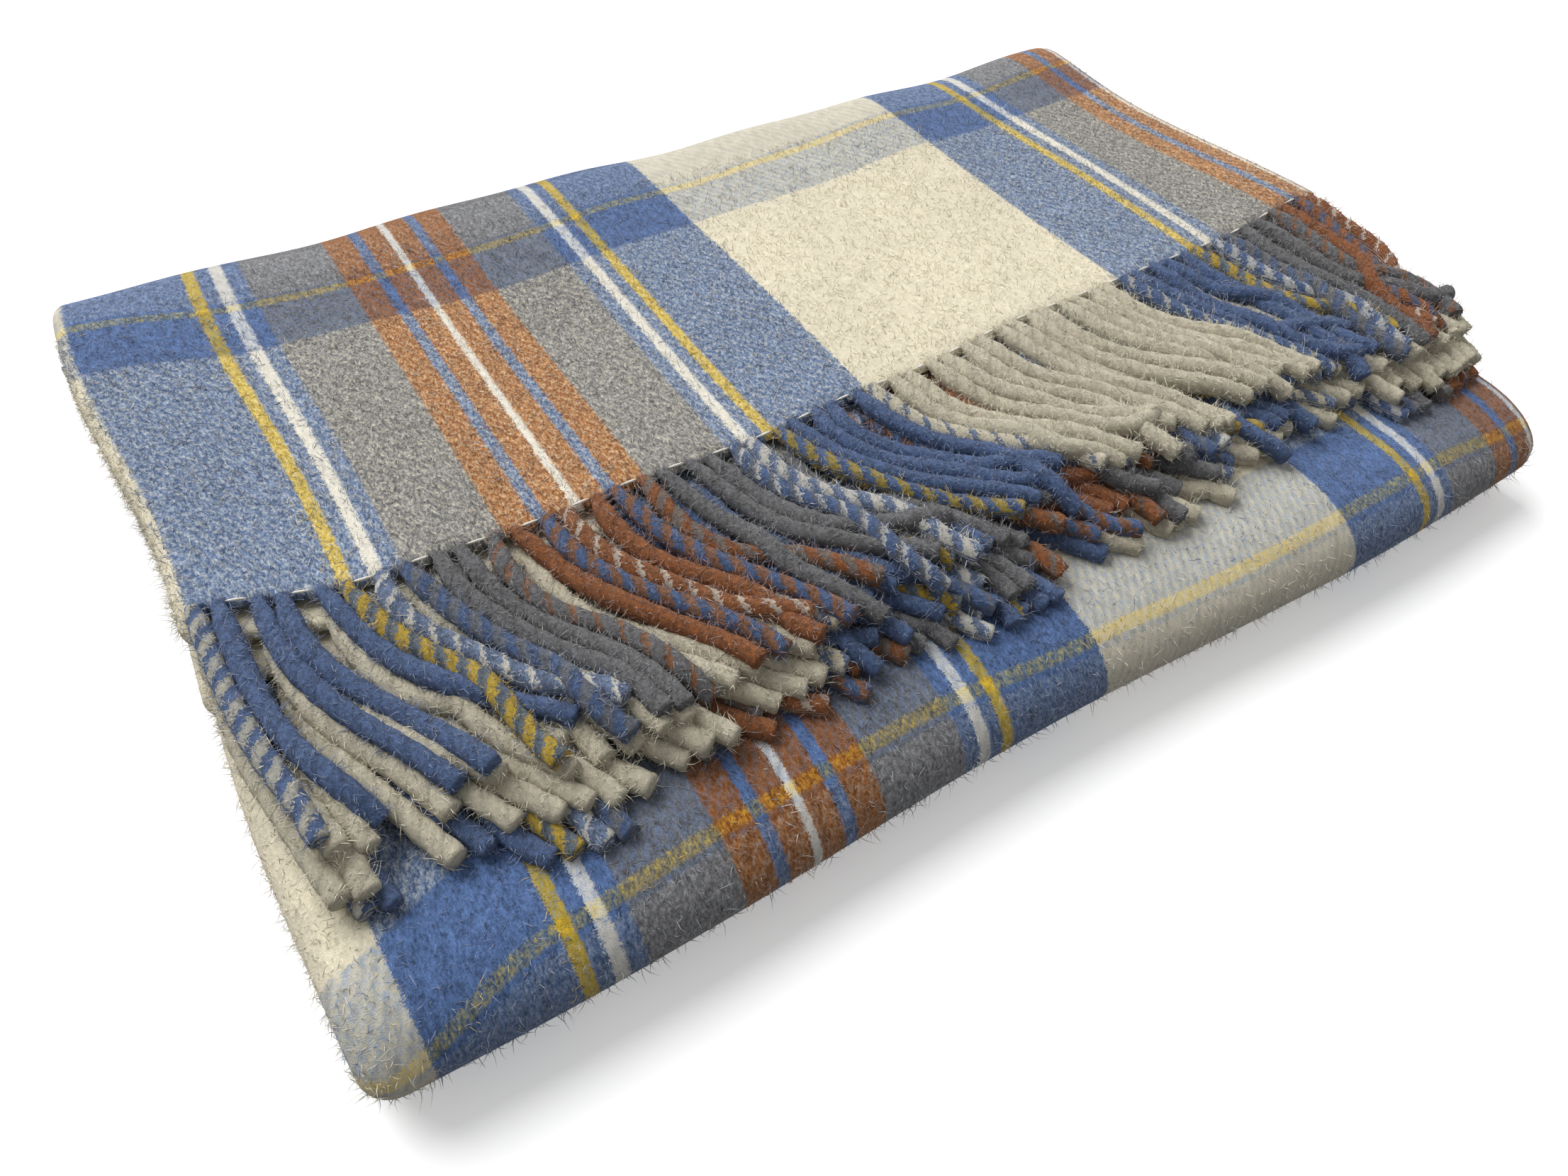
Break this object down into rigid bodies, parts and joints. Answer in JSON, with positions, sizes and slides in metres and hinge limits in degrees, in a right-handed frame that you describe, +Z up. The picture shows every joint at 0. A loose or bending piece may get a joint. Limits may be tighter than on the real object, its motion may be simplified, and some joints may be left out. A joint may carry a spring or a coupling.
{
  "type": "folded throw blanket",
  "caption": "Tartan wool throw folded into a rectangular stack, with a hinged top flap and rows of twisted tassel fringe.",
  "frame": {"origin": "on the table, under the middle of the folded stack", "axes": "+X along the fringe to the right, +Y from the fringe to the back fold, +Z up from the table"},
  "size_m": [0.66, 0.455, 0.09],
  "materials": {
    "wool_outer": "brushed twill",
    "wool_inner": "brushed twill",
    "wool_cream": "brushed twill",
    "fringe_wool": "twisted yarn"
  },
  "bodies": {
    "base": {"base_bottom_face": "wool_outer", "base_bottom_lining": "wool_inner", "base_top_lining": "wool_inner", "base_top_face": "wool_outer", "base_left_fold_lower": "wool_cream", "base_left_fold_upper": "wool_cream", "front_fold_face": "wool_outer", "front_fold_lining": "wool_inner", "back_fold_outer_face": "wool_outer", "back_fold_outer_lining": "wool_inner", "back_fold_inner_lining": "wool_inner", "back_fold_inner_face": "wool_outer"},
    "flap": {"flap_under_face": "wool_outer", "flap_under_lining": "wool_inner", "flap_top_lining": "wool_inner", "flap_top_face": "wool_outer", "flap_left_fold_lower": "wool_cream", "flap_left_fold_upper": "wool_cream", "fringe_under_face": "fringe_wool", "fringe_under_lining": "fringe_wool", "fringe_top_lining": "fringe_wool", "fringe_top_face": "fringe_wool"}
  },
  "joints": [
    {"name": "flap_opening", "type": "hinge", "parent": "base", "child": "flap", "pos_m": [0, 0.2275, 0.046], "axis": [-1, 0, 0], "range_deg": [0, 179], "deforming": ["back_fold_outer_face", "back_fold_outer_lining", "back_fold_inner_lining", "back_fold_inner_face"]}
  ]
}
